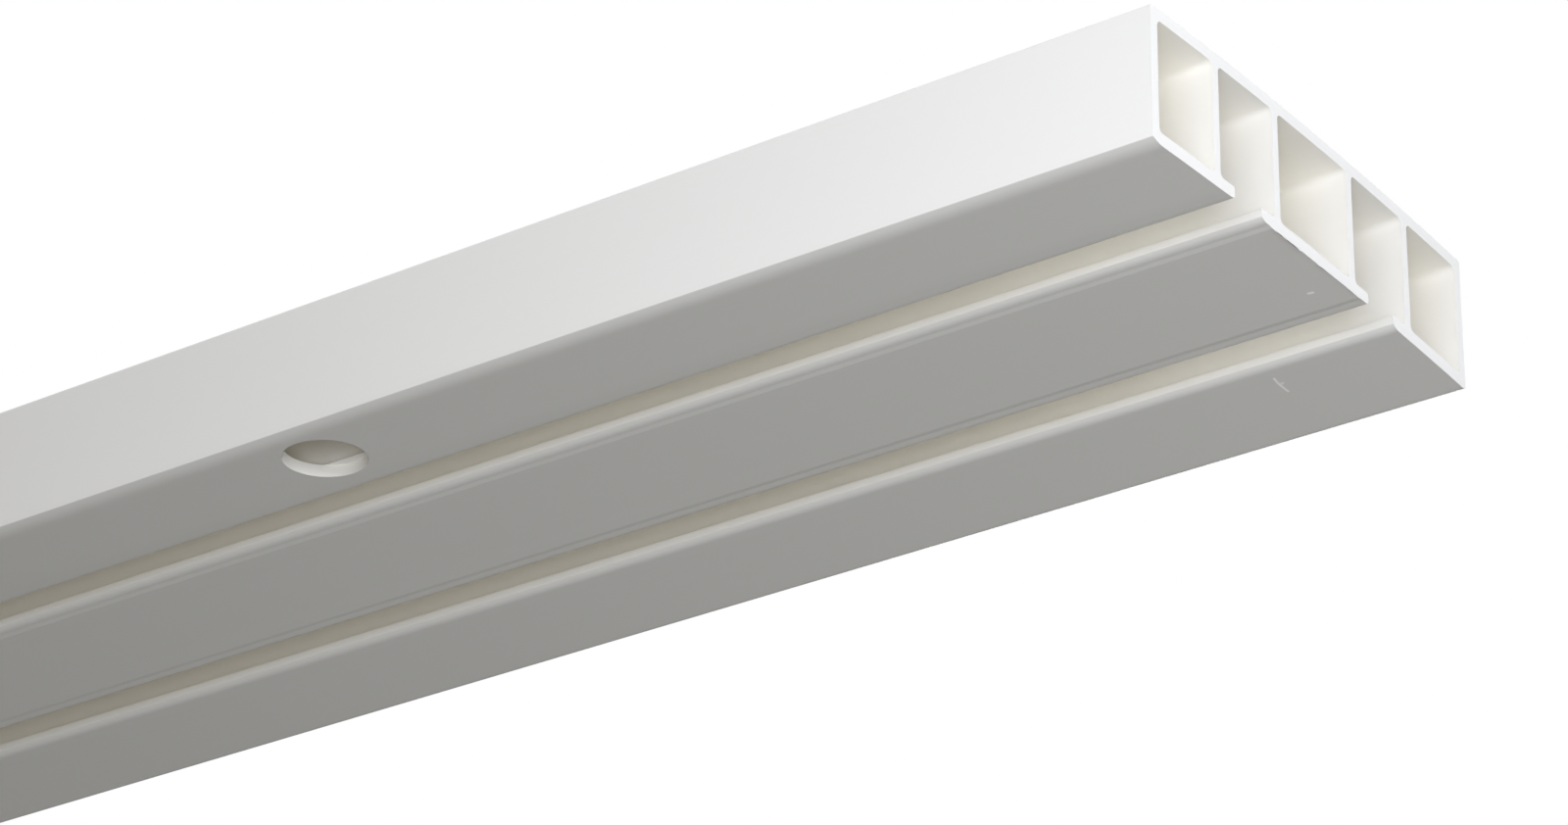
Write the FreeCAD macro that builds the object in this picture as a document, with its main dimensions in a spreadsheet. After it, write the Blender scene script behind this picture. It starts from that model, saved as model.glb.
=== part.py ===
"""Two-run curtain track: one white PVC extrusion with two glider channels, sawn to length and drilled.

The section is drawn once and padded along X. The near side of the track faces -Y, the slots face
down, and the origin is at the middle of the plane that the two lower edges stand on. All in mm.
"""
import FreeCAD, Part
import Sketcher
import os

# Driving dimensions: alias, value in mm (the count is a plain number), what it is
DIMENSIONS = [
    ("length", 1000.0, "sawn length of the track"),
    ("width", 56.0, "overall width across both side walls"),
    ("height", 14.0, "height of the section, underside to back"),
    ("crown", 0.8, "rise of the arched section at mid-width"),
    ("side_wall", 1.1, "thickness of the two outer side walls"),
    ("web", 1.0, "thickness of the four upright webs"),
    ("back", 1.2, "thickness of the wall that lies against the ceiling"),
    ("flange", 1.3, "thickness of the bottom flanges and their lips"),
    ("side_chamber", 9.3, "inside width of each outer chamber"),
    ("channel", 9.4, "inside width of each glider channel"),
    ("slot", 4.6, "width of each slot between two lips"),
    ("edge_round_width", 2.0, "width of the rounding along the near lower edge"),
    ("edge_round_rise", 0.3, "height of that rounding"),
    ("lip_round_width", 1.1, "width of the rounding on the near edge of the other two flanges"),
    ("lip_round_rise", 0.4, "height of that rounding"),
    ("corner_radius", 0.6, "radius in the corners of the chambers and channels"),
    ("access_diameter", 8.6, "driver access holes in the near flange, nicking the foot of the web"),
    ("access_depth", 2.5, "how far up from the lower edges an access hole is drilled"),
    ("screw_diameter", 4.5, "screw holes in the back, above the access holes"),
    ("hole_line", 6.7, "row of holes from the near side face"),
    ("hole_inset", 100.0, "first and last hole from the sawn ends"),
    ("hole_count", 3, "holes along the track"),
]

doc = FreeCAD.newDocument("curtain_track")
sheet = doc.addObject("Spreadsheet::Sheet", "Sizes")
for row, (alias, value, meaning) in enumerate(DIMENSIONS, start=1):
    sheet.set(f"A{row}", meaning)
    sheet.set(f"B{row}", str(value))
    sheet.setAlias(f"B{row}", alias)
doc.recompute()


class Size:
    """A size that carries both its number and the sheet expression that gives it."""

    def __init__(self, number, text):
        self.number = number
        self.text = text

    def __add__(self, other):
        return Size(self.number + other.number, f"({self.text} + {other.text})")

    def __sub__(self, other):
        return Size(self.number - other.number, f"({self.text} - {other.text})")

    def __mul__(self, other):
        return Size(self.number * other.number, f"({self.text} * {other.text})")

    def __truediv__(self, other):
        return Size(self.number / other.number, f"({self.text} / {other.text})")

    def __neg__(self):
        return Size(-self.number, f"(-{self.text})")


def size(alias):
    """The sheet cell with this alias."""
    return Size(float(sheet.get(alias)), f"Sizes.{alias}")


# Upright faces of the section, as distances from the centre plane
two = Size(2.0, "2")
side_face = size("width") / two
chamber_outer = side_face - size("side_wall")
chamber_inner = chamber_outer - size("side_chamber")
channel_outer = chamber_inner - size("web")
channel_inner = channel_outer - size("channel")
centre_face = channel_inner - size("web")
lip = (size("channel") - size("slot")) / two
slot_outer = channel_outer - lip
slot_inner = channel_inner + lip

# The four levels of the section are arcs about one centre far below it, so each wall keeps its thickness
underside = (side_face * side_face + size("crown") * size("crown")) / (two * size("crown"))
lip_top = underside + size("flange")
back_face = underside + size("height")
ceiling = back_face - size("back")
arc_centre_drop = underside - size("crown")


def height_on(arc, y):
    """Height of one of the section's arcs at the distance y from the centre plane."""
    return (arc.number ** 2 - y.number ** 2) ** 0.5 - arc_centre_drop.number


def point_on(arc, y):
    """Sketch point where that arc meets the upright line at y."""
    return FreeCAD.Vector(y.number, height_on(arc, y), 0)


class Section:
    """A sketch of closed outlines: walks along upright lines, arcs about one centre and rounded edges.

    Each edge is kept as its number, its first and last end, and how it joins the next edge.
    """

    def __init__(self, sketch):
        self.sketch = sketch
        centre = FreeCAD.Vector(0, -arc_centre_drop.number, 0)
        self.centre = sketch.addGeometry(Part.Point(centre), True)
        sketch.addConstraint(Sketcher.Constraint("PointOnObject", self.centre, 1, -2))
        self.bind(("DistanceY", self.centre, 1, -1, 1), arc_centre_drop)

    def bind(self, constraint, value):
        """Add a dimension whose value comes from the sheet."""
        index = self.sketch.addConstraint(Sketcher.Constraint(*constraint, value.number))
        self.sketch.setExpression(f"Constraints[{index}]", value.text)

    def hold_across(self, edge, end, y):
        """Hold one end of an edge at the distance y from the centre plane, on y's own side of it."""
        if y.number < 0:
            self.bind(("DistanceX", edge, end, -1, 1), -y)
        else:
            self.bind(("DistanceX", -1, 1, edge, end), y)

    def upright(self, start, finish, y):
        """Upright line between two points, held at y."""
        edge = self.sketch.addGeometry(Part.LineSegment(start, finish))
        self.sketch.addConstraint(Sketcher.Constraint("Vertical", edge))
        self.hold_across(edge, 1, y)
        return edge, 1, 2, "Coincident"

    def arc(self, start, finish, radius):
        """Arc about the common centre. It always runs from its right end to its left end."""
        across = (start, finish) if start.x > finish.x else (finish, start)
        middle_y = Size((start.x + finish.x) / 2, "")
        edge = self.sketch.addGeometry(Part.Arc(across[0], point_on(radius, middle_y), across[1]))
        self.sketch.addConstraint(Sketcher.Constraint("Coincident", edge, 3, self.centre, 1))
        self.bind(("Radius", edge), radius)
        first, last = (1, 2) if start.x > finish.x else (2, 1)
        return edge, first, last, "Coincident"

    def rounded_edge(self, start, finish, y, rise):
        """Arc from an upright face down to the underside, which it runs into smoothly at y."""
        upwards = finish - FreeCAD.Vector(0, -arc_centre_drop.number, 0)
        upwards.normalize()
        across = finish - start
        radius = -across.dot(across) / (2 * across.dot(upwards))
        middle = finish + upwards * radius
        outwards = (start + finish) * 0.5 - middle
        outwards.normalize()
        edge = self.sketch.addGeometry(Part.Arc(start, middle + outwards * radius, finish))
        self.hold_across(edge, 2, y)
        self.bind(("DistanceY", edge, 2, edge, 1), rise)
        return edge, 1, 2, "Tangent"

    def close(self, edges):
        """Join each edge's last end to the next one's first end, round to the start."""
        for (edge, _, last, join), (following, first, _, _) in zip(edges, edges[1:] + edges[:1]):
            self.sketch.addConstraint(Sketcher.Constraint(join, edge, last, following, first))


def chamber(section, left, right):
    """Closed chamber between two upright faces, from the flange up to the back."""
    floor_left, floor_right = point_on(lip_top, left), point_on(lip_top, right)
    ceiling_left, ceiling_right = point_on(ceiling, left), point_on(ceiling, right)
    section.close([
        section.arc(floor_left, floor_right, lip_top),
        section.upright(floor_right, ceiling_right, right),
        section.arc(ceiling_right, ceiling_left, ceiling),
        section.upright(ceiling_left, floor_left, left),
    ])


def flange(section, left, right, upright_from, upright_to, rounding):
    """Bottom of a flange: down its near face, round the near edge, along the underside, up its far face."""
    rise = size(rounding + "_rise")
    round_end = left + size(rounding + "_width")
    round_foot = point_on(underside, round_end)
    round_top = FreeCAD.Vector(left.number, round_foot.y + rise.number, 0)
    foot = point_on(underside, right)
    return [
        section.upright(point_on(upright_from, left), round_top, left),
        section.rounded_edge(round_top, round_foot, round_end, rise),
        section.arc(round_foot, foot, underside),
        section.upright(foot, point_on(upright_to, right), right),
    ]


def channel(section, near_web, near_lip, far_lip, far_web):
    """Inside of a glider channel, from the near lip's edge round to the far lip's edge."""
    return [
        section.arc(point_on(lip_top, near_lip), point_on(lip_top, near_web), lip_top),
        section.upright(point_on(lip_top, near_web), point_on(ceiling, near_web), near_web),
        section.arc(point_on(ceiling, near_web), point_on(ceiling, far_web), ceiling),
        section.upright(point_on(ceiling, far_web), point_on(lip_top, far_web), far_web),
        section.arc(point_on(lip_top, far_web), point_on(lip_top, far_lip), lip_top),
    ]


def origin_feature(body, role):
    """One of the body's own origin planes or axes."""
    return [feature for feature in body.Origin.OriginFeatures if feature.Role == role][0]


def sketch_on(body, name, role):
    """New sketch on one of the body's own origin planes."""
    sketch = body.newObject("Sketcher::SketchObject", name)
    sketch.AttachmentSupport = (origin_feature(body, role), "")
    sketch.MapMode = "FlatFace"
    return sketch


def extrude_track(body):
    """The whole section as one sketch, padded to the sawn length on both sides of the origin."""
    sketch = sketch_on(body, "section", "YZ_Plane")
    section = Section(sketch)
    outline = flange(section, -side_face, -slot_outer, back_face, lip_top, "edge_round")
    outline += channel(section, -channel_outer, -slot_outer, -slot_inner, -channel_inner)
    outline += flange(section, -slot_inner, slot_inner, lip_top, lip_top, "lip_round")
    outline += channel(section, channel_inner, slot_inner, slot_outer, channel_outer)
    outline += flange(section, slot_outer, side_face, lip_top, back_face, "lip_round")
    outline += [section.arc(point_on(back_face, side_face), point_on(back_face, -side_face), back_face)]
    section.close(outline)
    chamber(section, -chamber_outer, -chamber_inner)
    chamber(section, -centre_face, centre_face)
    chamber(section, chamber_inner, chamber_outer)
    pad = body.newObject("PartDesign::Pad", "extrusion")
    pad.Profile = sketch
    pad.SideType = "Symmetric"
    pad.setExpression("Length", "Sizes.length")
    return pad


def round_inner_corners(body, pad):
    """Small radii where the webs and side walls meet the back and the flanges inside the track."""
    one_side = [chamber_outer, chamber_inner, channel_outer, channel_inner, centre_face]
    faces = one_side + [-face for face in one_side]
    corners = [point_on(arc, face) for arc in (lip_top, ceiling) for face in faces]
    names = []
    for index, edge in enumerate(pad.Shape.Edges, start=1):
        ends = [vertex.Point for vertex in edge.Vertexes]
        along = abs(ends[0].x - ends[-1].x) > size("length").number / 2
        on_corner = any(abs(ends[0].y - c.x) + abs(ends[0].z - c.y) < 1e-4 for c in corners)
        if along and on_corner:
            names.append(f"Edge{index}")
    if len(names) != len(corners):
        raise RuntimeError(f"{len(names)} inner corners found of {len(corners)}")
    fillet = body.newObject("PartDesign::Fillet", "inner_corners")
    fillet.Base = (pad, names)
    fillet.setExpression("Radius", "Sizes.corner_radius")
    return fillet


def drill(body, name, diameter):
    """Round hole drilled upwards through the near flange at the right-hand end of the row of holes."""
    sketch = sketch_on(body, name + "_circle", "XY_Plane")
    along = size("length") / two - size("hole_inset")
    across = side_face - size("hole_line")
    centre = FreeCAD.Vector(along.number, -across.number, 0)
    circle = sketch.addGeometry(Part.Circle(centre, FreeCAD.Vector(0, 0, 1), size(diameter).number / 2))
    dimensions = [
        (("DistanceX", -1, 1, circle, 3, along.number), along),
        (("DistanceY", circle, 3, -1, 1, across.number), across),
        (("Diameter", circle, size(diameter).number), size(diameter)),
    ]
    for constraint, value in dimensions:
        index = sketch.addConstraint(Sketcher.Constraint(*constraint))
        sketch.setExpression(f"Constraints[{index}]", value.text)
    pocket = body.newObject("PartDesign::Pocket", name)
    pocket.Profile = sketch
    pocket.Reversed = True
    return pocket


def check(shapes):
    """Stop if any object failed to build or any finished shape is not one valid solid."""
    for item in doc.Objects:
        if "Invalid" in item.State or "Error" in item.State:
            raise RuntimeError(f"{item.Name} did not build: {item.State}")
    for label, shape in shapes.items():
        if shape.isNull() or not shape.isValid() or len(shape.Solids) != 1:
            raise RuntimeError(f"{label} is not one valid solid")


# The track: extruded, then drilled for its screws from below
track = doc.addObject("PartDesign::Body", "track")
track.Label = "track_profile"
extrusion = extrude_track(track)
doc.recompute()
rounded = round_inner_corners(track, extrusion)
doc.recompute()

access_hole = drill(track, "access_hole", "access_diameter")
access_hole.Type = "Length"
access_hole.setExpression("Length", "Sizes.access_depth")
doc.recompute()
screw_hole = drill(track, "screw_hole", "screw_diameter")
screw_hole.Type = "ThroughAll"
doc.recompute()
if not screw_hole.Shape.Volume < access_hole.Shape.Volume < rounded.Shape.Volume:
    raise RuntimeError("a hole cut nothing")

hole_row = track.newObject("PartDesign::LinearPattern", "hole_row")
hole_row.Originals = [access_hole, screw_hole]
hole_row.Direction = (origin_feature(track, "X_Axis"), [""])
hole_row.Reversed = True
hole_row.Mode = "Extent"
hole_row.setExpression("Length", "Sizes.length - 2 * Sizes.hole_inset")
hole_row.setExpression("Occurrences", "Sizes.hole_count")
track.Tip = hole_row
doc.recompute()

finished = {track.Label: track.Shape}
check(finished)
os.makedirs("parts", exist_ok=True)
for label, shape in finished.items():
    shape.exportStep(f"parts/{label}.step")
    box = shape.BoundBox
    print(f"{label}: {box.XLength:.2f} x {box.YLength:.2f} x {box.ZLength:.2f} mm, {shape.Volume:.0f} mm3")
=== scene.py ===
"""Two-run curtain track: a white PVC extrusion, sawn square and drilled for its ceiling screws."""
import math

import bpy
import numpy as np
from mathutils import Matrix, Vector
from mathutils.geometry import tessellate_polygon


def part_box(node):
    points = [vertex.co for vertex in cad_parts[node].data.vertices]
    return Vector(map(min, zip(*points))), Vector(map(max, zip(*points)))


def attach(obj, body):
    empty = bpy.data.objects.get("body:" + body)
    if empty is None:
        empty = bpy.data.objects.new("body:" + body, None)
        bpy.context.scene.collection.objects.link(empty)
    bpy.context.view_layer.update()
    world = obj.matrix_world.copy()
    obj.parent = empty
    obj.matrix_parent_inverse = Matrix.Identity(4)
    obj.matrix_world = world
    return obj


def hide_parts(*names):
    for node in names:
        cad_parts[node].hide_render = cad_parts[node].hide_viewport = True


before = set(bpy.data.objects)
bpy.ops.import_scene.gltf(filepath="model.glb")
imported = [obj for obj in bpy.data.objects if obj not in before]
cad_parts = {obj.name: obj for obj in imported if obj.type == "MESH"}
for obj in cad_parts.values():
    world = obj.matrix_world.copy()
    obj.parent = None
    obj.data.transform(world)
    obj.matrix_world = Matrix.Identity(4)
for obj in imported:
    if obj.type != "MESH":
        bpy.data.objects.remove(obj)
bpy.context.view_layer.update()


# The track: one length of white PVC, pressed through a die as a hollow section with two glider channels and
# three chambers side by side, then sawn off square at both ends. Holes are drilled through the near chamber
# for the screws that hold it to a ceiling, with the slots facing down.
MM = 0.001
half_length, side = np.array(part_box("track_profile")[1])[:2] / MM
height, crown, back, lip_top = 14.0, 0.8, 1.2, 1.3
ceiling = height - back
arch_radius = (side ** 2 + crown ** 2) / (2 * crown)
side_wall, side_chamber, web, channel, slot = 1.1, 9.3, 1.0, 9.4, 4.6
chamber_outer = side - side_wall
chamber_inner = chamber_outer - side_chamber
channel_outer = chamber_inner - web
channel_inner = channel_outer - channel
centre_face = channel_inner - web
slot_outer = channel_outer - (channel - slot) / 2
slot_inner = slot_outer - slot

# Edges as the die leaves them: round in the cells and wide and shallow where a flange faces the near side.
# The near flange curls up a hair towards its slot, and the centre flange carries a raised panel.
inner_radius, back_radius, foot_radius = 0.6, 0.25, 0.5
lip_radius, far_edge_radius, crisp_radius = 0.2, 0.45, 0.08
near_round_width, near_round_rise = 2.0, 0.41
slot_round_width, centre_round_rise, far_round_rise = 1.1, 0.33, 0.37
round_share = 0.9
curl_rise, curl_radius = 0.06, 30.0
panel_drop, panel_edge, panel_slope, panel_radius = 0.08, 8.0, 0.3, 0.6


def rounded(corners, steps=6):
    """Closed outline with each corner (y, h, r) turned by an arc of radius r. The arc starts r tan(turn / 2)
    before the corner and swings through the turn about a centre that lies r to the inside of the bend."""
    spot, radius = corners[:, :2], corners[:, 2]
    coming = spot - np.roll(spot, 1, axis=0)
    coming /= np.linalg.norm(coming, axis=1)[:, None]
    going = np.roll(coming, -1, axis=0)
    cross = coming[:, 0] * going[:, 1] - coming[:, 1] * going[:, 0]
    turn = np.arctan2(cross, (coming * going).sum(axis=1))
    start = spot - coming * (radius * np.tan(abs(turn) / 2))[:, None]
    leftward = np.stack([-coming[:, 1], coming[:, 0]], axis=1)
    centre = start + leftward * (radius * np.sign(turn))[:, None]
    arm = start - centre
    swing = turn[:, None] * np.linspace(0, 1, steps)
    across = arm[:, :1] * np.cos(swing) - arm[:, 1:] * np.sin(swing)
    upward = arm[:, :1] * np.sin(swing) + arm[:, 1:] * np.cos(swing)
    return (np.stack([across, upward], axis=2) + centre[:, None]).reshape(-1, 2)


def evenly(outline, longest=0.4):
    """Closed outline with points added at even steps on its straight runs, so that no side is longer."""
    run = np.roll(outline, -1, axis=0) - outline
    parts = np.ceil(np.linalg.norm(run, axis=1) / longest).astype(int).clip(1)
    row = np.repeat(np.arange(len(outline)), parts)
    first = np.repeat(np.cumsum(parts) - parts, parts)
    share = (np.arange(len(row)) - first) / parts[row]
    return outline[row] + run[row] * share[:, None]


def arched(outline):
    """Flat outline bent over the crown: the level h turns into an arc about one centre far below the track,
    z = sqrt((R + h)^2 - y^2) - (R - crown), so that the floors and the back run parallel."""
    across, level = outline.T
    return np.stack([across, np.sqrt((arch_radius + level) ** 2 - across ** 2) - arch_radius + crown], axis=1)


def flange(near, width, rise, level=0.0):
    """Corners of a flange seen from below, from its near edge to the foot of its rounding. The rounding is an
    arc almost as wide as the tangent one, R = (w^2 + e^2) / (2 e) for a width w and a rise e."""
    bend = (width ** 2 + rise ** 2) / (2 * rise)
    meet = bend * math.tan(math.asin(width / bend) / 2)
    return [(near, level + rise, crisp_radius), (near + width - meet, level, round_share * bend)]


outer = np.array(
    [(-side, height, back_radius)]
    + flange(-side, near_round_width, near_round_rise)
    + [(-channel_outer, 0.0, curl_radius), (-slot_outer, curl_rise, far_edge_radius)]
    + [(-slot_outer, lip_top, lip_radius)]
    + [(-channel_outer, lip_top, inner_radius), (-channel_outer, ceiling, inner_radius)]
    + [(-channel_inner, ceiling, inner_radius), (-channel_inner, lip_top, inner_radius)]
    + [(-slot_inner, lip_top, lip_radius)]
    + flange(-slot_inner, slot_round_width, centre_round_rise, panel_drop)
    + [(-panel_edge - panel_slope, panel_drop, panel_radius), (-panel_edge + panel_slope, 0.0, panel_radius)]
    + [(panel_edge - panel_slope, 0.0, panel_radius), (panel_edge + panel_slope, panel_drop, panel_radius)]
    + [(slot_inner, panel_drop, far_edge_radius), (slot_inner, lip_top, lip_radius)]
    + [(channel_inner, lip_top, inner_radius), (channel_inner, ceiling, inner_radius)]
    + [(channel_outer, ceiling, inner_radius), (channel_outer, lip_top, inner_radius)]
    + [(slot_outer, lip_top, lip_radius)]
    + flange(slot_outer, slot_round_width, far_round_rise)
    + [(side, 0.0, foot_radius), (side, height, back_radius)])


def chamber(near, far):
    """Corners of a closed cell between two faces, run round the other way so that its walls face inward."""
    return np.array([(near, lip_top, inner_radius), (near, ceiling, inner_radius),
                     (far, ceiling, inner_radius), (far, lip_top, inner_radius)])


flat_loops = [evenly(rounded(corners)) for corners in (
    outer, chamber(-chamber_outer, -chamber_inner), chamber(-centre_face, centre_face),
    chamber(chamber_inner, chamber_outer))]


def sawn_bar(loops, stations, burr):
    """Bar with these closed loops (y, z) as its section: loop points times stations along X, closed at both
    ends by flat caps. The burr is how far each point of the two end sections hangs down."""
    section = np.concatenate(loops)
    count = len(section)
    starts = np.cumsum([0] + [len(loop) for loop in loops[:-1]])
    after = np.concatenate([start + np.roll(np.arange(len(loop)), -1) for start, loop in zip(starts, loops)])
    points = np.empty((len(stations), count, 3))
    points[:, :, 0] = stations[:, None]
    points[:, :, 1:] = section
    points[[0, -1], :, 2] -= burr
    rows = np.arange(len(stations) - 1)[:, None] * count
    here = np.arange(count)
    walls = np.stack([rows + here, rows + after, rows + count + after, rows + count + here], axis=2)
    caps = np.array(tessellate_polygon([np.pad(loop, ((0, 0), (0, 1))) for loop in loops]))
    one, two = section[caps[:, 1]] - section[caps[:, 0]], section[caps[:, 2]] - section[caps[:, 0]]
    area = one[:, 0] * two[:, 1] - one[:, 1] * two[:, 0]
    caps = np.where(area[:, None] > 0, caps, caps[:, ::-1])
    last = count * (len(stations) - 1)
    faces = walls.reshape(-1, 4).tolist() + caps[:, ::-1].tolist() + (caps + last).tolist()
    mesh = bpy.data.meshes.new("track_profile")
    mesh.from_pydata((points.reshape(-1, 3) * MM).tolist(), [], faces)
    return mesh


# The saw leaves crumbs of burr along the lower edge of the raised panel, most of them far below the largest.
burr_height, burr_rarity, burr_margin = 0.14, 5, 0.1
burr_reach = np.array([0.0, 0.3, 0.6])
flat = np.concatenate(flat_loops)
chance = np.random.default_rng(7)
crumbs = chance.random(len(flat)) ** burr_rarity * burr_height
on_panel = (flat[:, 1] < lip_top / 2) & (abs(flat[:, 0]) < panel_edge - panel_slope - burr_margin)
burr = np.where(on_panel, crumbs, 0.0)
stations = np.concatenate([burr_reach - half_length, half_length - burr_reach[::-1]])
mesh = sawn_bar([arched(loop) for loop in flat_loops], stations, burr)
track = bpy.data.objects.new("track_profile", mesh)
bpy.context.scene.collection.objects.link(track)

# Each hole is drilled in two steps on one axis: wide through the near flange, so that a screwdriver passes,
# and narrow through the back for the screw.
hole_inset, hole_line, hole_count = 100.0, 6.7, 3
access_radius, screw_radius, drill_overrun = 4.3, 2.25, 2.0
access_depth = arched(np.array([(-chamber_inner, lip_top)]))[0, 1]
hole_row = np.linspace(half_length - hole_inset, hole_inset - half_length, hole_count)
hole_places = np.stack([hole_row, np.full(hole_count, hole_line - side)], axis=1)
drill_shape = np.array([(access_radius, -drill_overrun), (access_radius, access_depth),
                        (screw_radius, access_depth), (screw_radius, height + crown + drill_overrun)])


def stepped_drill(places, shape, sides=64):
    """Stepped drills on upright axes: the shape (r, z) turned round each place,
    x = X + r cos(a) and y = Y + r sin(a), with a flat face at the bottom and at the top."""
    angle = np.arange(sides) * 2 * np.pi / sides
    ring = np.stack([np.cos(angle), np.sin(angle)], axis=1)
    points = np.empty((len(places), len(shape), sides, 3))
    points[..., :2] = places[:, None, None] + shape[None, :, None, :1] * ring
    points[..., 2] = shape[None, :, None, 1]
    number = np.arange(len(places) * len(shape) * sides).reshape(len(places), len(shape), sides)
    beside = np.roll(number, -1, axis=2)
    walls = np.stack([number[:, :-1], beside[:, :-1], beside[:, 1:], number[:, 1:]], axis=3)
    faces = walls.reshape(-1, 4).tolist() + number[:, 0, ::-1].tolist() + number[:, -1].tolist()
    mesh = bpy.data.meshes.new("drill")
    mesh.from_pydata((points.reshape(-1, 3) * MM).tolist(), [], faces)
    return mesh


drill = bpy.data.objects.new("drill", stepped_drill(hole_places, drill_shape))
bpy.context.scene.collection.objects.link(drill)
holes = track.modifiers.new("holes", "BOOLEAN")
holes.operation = "DIFFERENCE"
holes.solver = "EXACT"
holes.object = drill
drilled = bpy.data.meshes.new_from_object(track.evaluated_get(bpy.context.evaluated_depsgraph_get()))
track.modifiers.clear()
track.data = drilled
bpy.data.objects.remove(drill)
sharp_turn = math.radians(24)
drilled.shade_smooth()
drilled.set_sharp_from_angle(angle=sharp_turn)


def linear(code):
    """Linear colour of an sRGB hex code: c / 12.92 in the darkest part, else ((c + 0.055) / 1.055)^2.4."""
    value = np.array([int(code[place:place + 2], 16) for place in (1, 3, 5)]) / 255
    value = np.where(value <= 0.04045, value / 12.92, ((value + 0.055) / 1.055) ** 2.4)
    return (*value.tolist(), 1.0)


def add_node(tree, kind, inputs=None, **settings):
    """Adds a node of this kind with its settings; each input is given a value or linked to an output."""
    node = tree.nodes.new(kind)
    for name, value in settings.items():
        setattr(node, name, value)
    for name, value in (inputs or {}).items():
        if isinstance(value, bpy.types.NodeSocket):
            tree.links.new(value, node.inputs[name])
        else:
            node.inputs[name].default_value = value
    return node


# Extruded rigid PVC: the die leaves a satin skin, so lights show as broad soft sheens with no mirror image.
# Chalk and titanium white make it a slightly warm white that turns tan where light bounces between its walls.
pvc = bpy.data.materials.new("extruded_rigid_pvc")
pvc.use_nodes = True
tree = pvc.node_tree
shader = tree.nodes["Principled BSDF"]
shader.inputs["IOR"].default_value = 1.53
place = add_node(tree, "ShaderNodeTexCoord").outputs["Object"]

# Die lines: faint streaks some tenths of a millimetre apart that run along the whole extrusion.
streak_gap, streak_length, streak_depth = 0.7, 160.0, 0.05
streak_place = add_node(tree, "ShaderNodeMapping", {
    "Vector": place, "Scale": (1000 / streak_length, 1000 / streak_gap, 1000 / streak_gap)})
streaks = add_node(tree, "ShaderNodeTexNoise", {
    "Vector": streak_place.outputs["Vector"], "Scale": 1.0, "Detail": 2.0, "Roughness": 0.6})
tint = add_node(tree, "ShaderNodeMix", {
    "Factor": streaks.outputs["Fac"], "A": linear("#FDFBF5"), "B": linear("#FBF9F2")}, data_type="RGBA")
skin = add_node(tree, "ShaderNodeBump", {
    "Height": streaks.outputs["Fac"], "Strength": 0.02, "Distance": streak_depth * MM})

# Cooling leaves the skin a little duller in patches about half as wide as a hand.
patch_size, least_rough, most_rough = 45.0, 0.36, 0.44
patches = add_node(tree, "ShaderNodeTexNoise", {"Vector": place, "Scale": 1000 / patch_size, "Detail": 2.0})
dullness = add_node(tree, "ShaderNodeMapRange", {
    "Value": patches.outputs["Fac"], "From Min": 0.3, "From Max": 0.7,
    "To Min": least_rough, "To Max": most_rough})

# Handling has left a nick and a forked scratch on the underside near the right end, raised edges a hair wide.
nick_width, scratch_width = 0.3, 0.19
fork = (485.5, 17.92, 0.47)
marks = [((496.6, 4.57, 0.78), (496.9, 4.6, 0.78), nick_width), ((485.65, 16.68, 0.52), fork, scratch_width),
         (fork, (485.55, 19.49, 0.41), scratch_width), (fork, (485.93, 17.85, 0.48), scratch_width)]
raised_edge = (0.0, -0.6, -0.8)
ridge = 0.0
for start, end, width in marks:
    run = Vector(end) - Vector(start)
    offset = add_node(tree, "ShaderNodeVectorMath", {0: place, 1: Vector(start) * MM}, operation="SUBTRACT")
    along = add_node(tree, "ShaderNodeVectorMath", {
        0: offset.outputs["Vector"], 1: run / run.length_squared / MM}, operation="DOT_PRODUCT")
    share = add_node(tree, "ShaderNodeClamp", {"Value": along.outputs["Value"]})
    nearest = add_node(tree, "ShaderNodeVectorMath", {
        0: run * MM, "Scale": share.outputs["Result"]}, operation="SCALE")
    gap = add_node(tree, "ShaderNodeVectorMath", {
        0: offset.outputs["Vector"], 1: nearest.outputs["Vector"]}, operation="DISTANCE")
    rise = add_node(tree, "ShaderNodeMapRange", {
        "Value": gap.outputs["Value"], "From Max": width * MM, "To Min": 1.0, "To Max": 0.0})
    ridge = add_node(tree, "ShaderNodeMath", {
        0: ridge, 1: rise.outputs["Result"]}, operation="MAXIMUM").outputs["Value"]
relief = add_node(tree, "ShaderNodeMix", {
    "Factor": ridge, "A": skin.outputs["Normal"], "B": raised_edge}, data_type="VECTOR")
tree.links.new(tint.outputs["Result"], shader.inputs["Base Color"])
tree.links.new(dullness.outputs["Result"], shader.inputs["Roughness"])
tree.links.new(relief.outputs["Result"], shader.inputs["Normal"])

track.data.materials.clear()
track.data.materials.append(pvc)
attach(track, "root")
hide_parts("track_profile")


# The stage: a pale floor far below, and a grey card under the track that keeps its underside in soft shade.
# The card is not seen and casts no shadow of its own on the floor.
floor_level, floor_reach = -3.4, 40.0
card_level, card_reach = -0.9, 4.0


def stage_sheet(name, level, reach, colour):
    """Flat matt square of one colour that belongs to the stage, at a level, reaching as far to each side."""
    paint = bpy.data.materials.new(name)
    paint.use_nodes = True
    paint.node_tree.nodes["Principled BSDF"].inputs["Base Color"].default_value = linear(colour)
    paint.node_tree.nodes["Principled BSDF"].inputs["Roughness"].default_value = 0.9
    corners = [(-reach, -reach, level), (reach, -reach, level), (reach, reach, level), (-reach, reach, level)]
    mesh = bpy.data.meshes.new(name)
    mesh.from_pydata(corners, [], [(0, 1, 2, 3)])
    mesh.materials.append(paint)
    sheet = bpy.data.objects.new(name, mesh)
    bpy.context.scene.collection.objects.link(sheet)
    return sheet


stage_sheet("pale_floor", floor_level, floor_reach, "#E6E6E4")
card = stage_sheet("grey_card", card_level, card_reach, "#7A7A78")
card.visible_camera = False
card.visible_shadow = False


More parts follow.
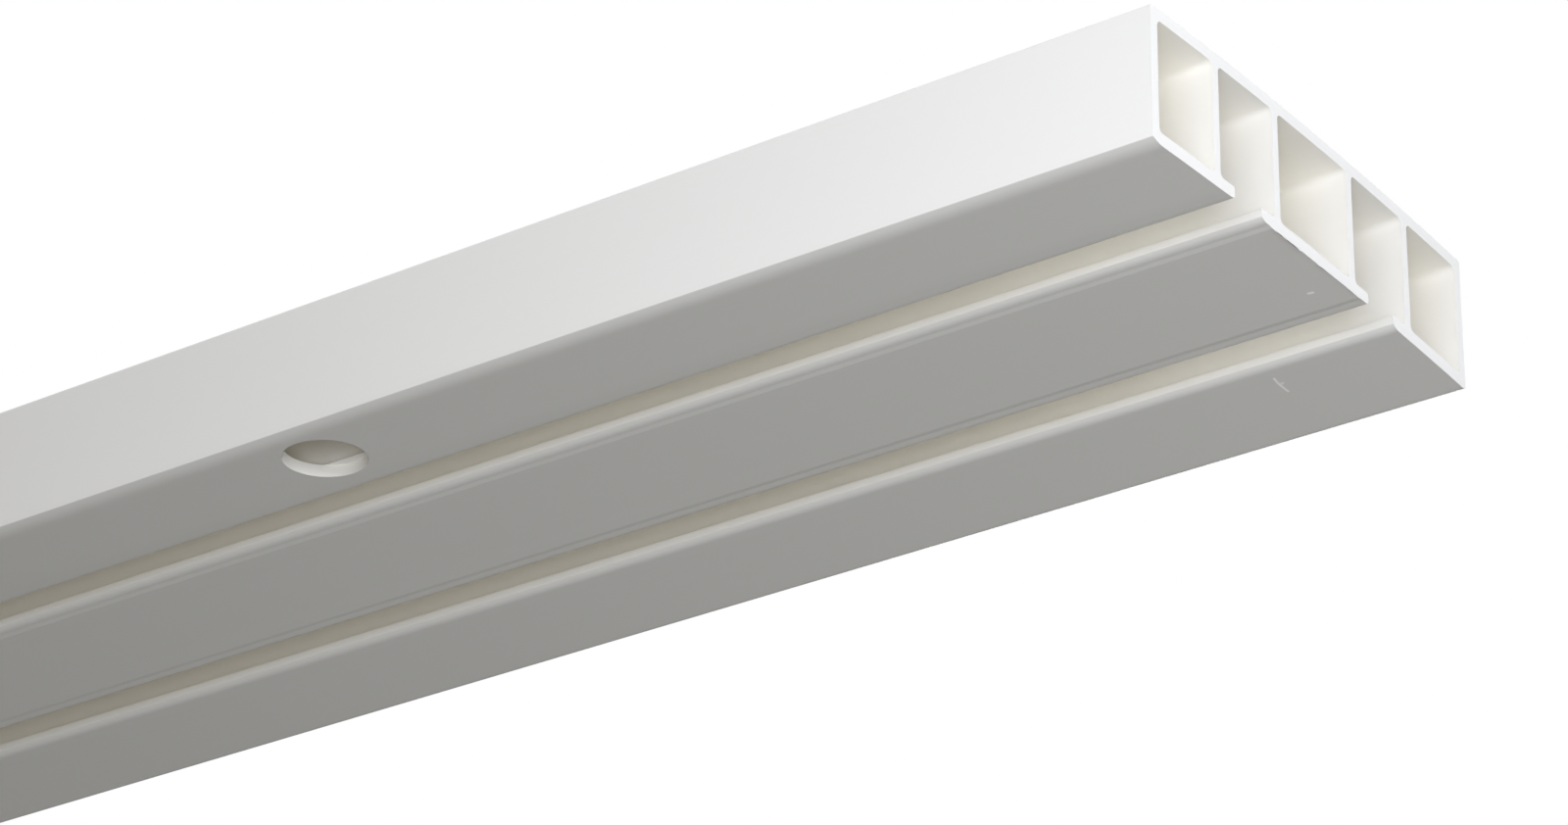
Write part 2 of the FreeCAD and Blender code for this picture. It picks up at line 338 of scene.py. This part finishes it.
# Soft studio light: a white backdrop for the eye, and for the light a dim room that is brightest overhead.
# Softboxes stand in front of the track, beside its two ends and behind it.
daylight, window_light = "#F9F9FB", "#EEF3FF"
overhead_strength = 0.82
room = bpy.data.worlds.new("white_studio")
room.use_nodes = True
bpy.context.scene.world = room
tree = room.node_tree
tree.nodes.clear()
heading = add_node(tree, "ShaderNodeSeparateXYZ", {
    "Vector": add_node(tree, "ShaderNodeTexCoord").outputs["Generated"]})
overhead = add_node(tree, "ShaderNodeMapRange", {
    "Value": heading.outputs["Z"], "From Min": 0.0, "From Max": 1.0, "To Min": 0.0,
    "To Max": overhead_strength}, interpolation_type="SMOOTHSTEP")
dim = add_node(tree, "ShaderNodeBackground", {
    "Color": linear(daylight), "Strength": overhead.outputs["Result"]})
backdrop = add_node(tree, "ShaderNodeBackground", {"Color": (1.0, 1.0, 1.0, 1.0), "Strength": 1.0})
seen = add_node(tree, "ShaderNodeLightPath").outputs["Is Camera Ray"]
both = add_node(tree, "ShaderNodeMixShader", {0: seen, 1: dim.outputs[0], 2: backdrop.outputs[0]})
add_node(tree, "ShaderNodeOutputWorld", {"Surface": both.outputs[0]})


def softbox(name, place, aim, size, power, colour):
    """Square soft light at a place, facing a point, with its size in metres and its power in watts."""
    lamp = bpy.data.lights.new(name, "AREA")
    lamp.size = size
    lamp.energy = power
    lamp.color = linear(colour)[:3]
    box = bpy.data.objects.new(name, lamp)
    box.location = place
    box.rotation_euler = (Vector(aim) - Vector(place)).to_track_quat("-Z", "Y").to_euler()
    box.visible_camera = False
    bpy.context.scene.collection.objects.link(box)


right_end, left_end = (0.48, 0.0, 0.007), (-0.48, 0.0, 0.007)
softbox("front_softbox", (0.74, -0.36, -0.24), (0.46, 0.0, 0.007), 0.2, 0.85, daylight)
softbox("front_high_softbox", (0.3, -1.5, 0.5), (0.43, 0.0, 0.007), 1.0, 1.1, daylight)
softbox("right_low_softbox", (0.58, -0.20, -0.04), right_end, 0.12, 0.195, window_light)
softbox("right_end_softbox", (1.10, -0.10, 0.02), right_end, 0.25, 2.05, window_light)
softbox("left_end_softbox", (-1.10, -0.40, 0.05), left_end, 0.25, 2.4, daylight)
softbox("back_softbox", (0.0, 1.6, 0.7), (0.0, 0.0, 0.0), 1.2, 15.0, daylight)

# Light that enters a slot bounces many times between the white walls before it comes out again.
wall_bounces = 24
bpy.context.scene.cycles.max_bounces = wall_bounces
bpy.context.scene.cycles.diffuse_bounces = wall_bounces


# The camera stands below and in front of the track's right end and looks up along it.
camera_place = Vector((0.69437, -0.34730, -0.22311))
camera_forward = Vector((-0.52271, 0.71452, 0.46501))
camera_right = Vector((0.81202, 0.58340, 0.01636))
camera = bpy.data.cameras.new("camera")
camera.sensor_width = 36.0
camera.lens = 114.44
camera.clip_start = 0.01
viewer = bpy.data.objects.new("camera", camera)
axes = Matrix((camera_right, camera_right.cross(camera_forward), -camera_forward)).transposed()
viewer.matrix_world = Matrix.Translation(camera_place) @ axes.to_4x4()
bpy.context.scene.collection.objects.link(viewer)
bpy.context.scene.camera = viewer
bpy.context.scene.view_settings.view_transform = "Standard"
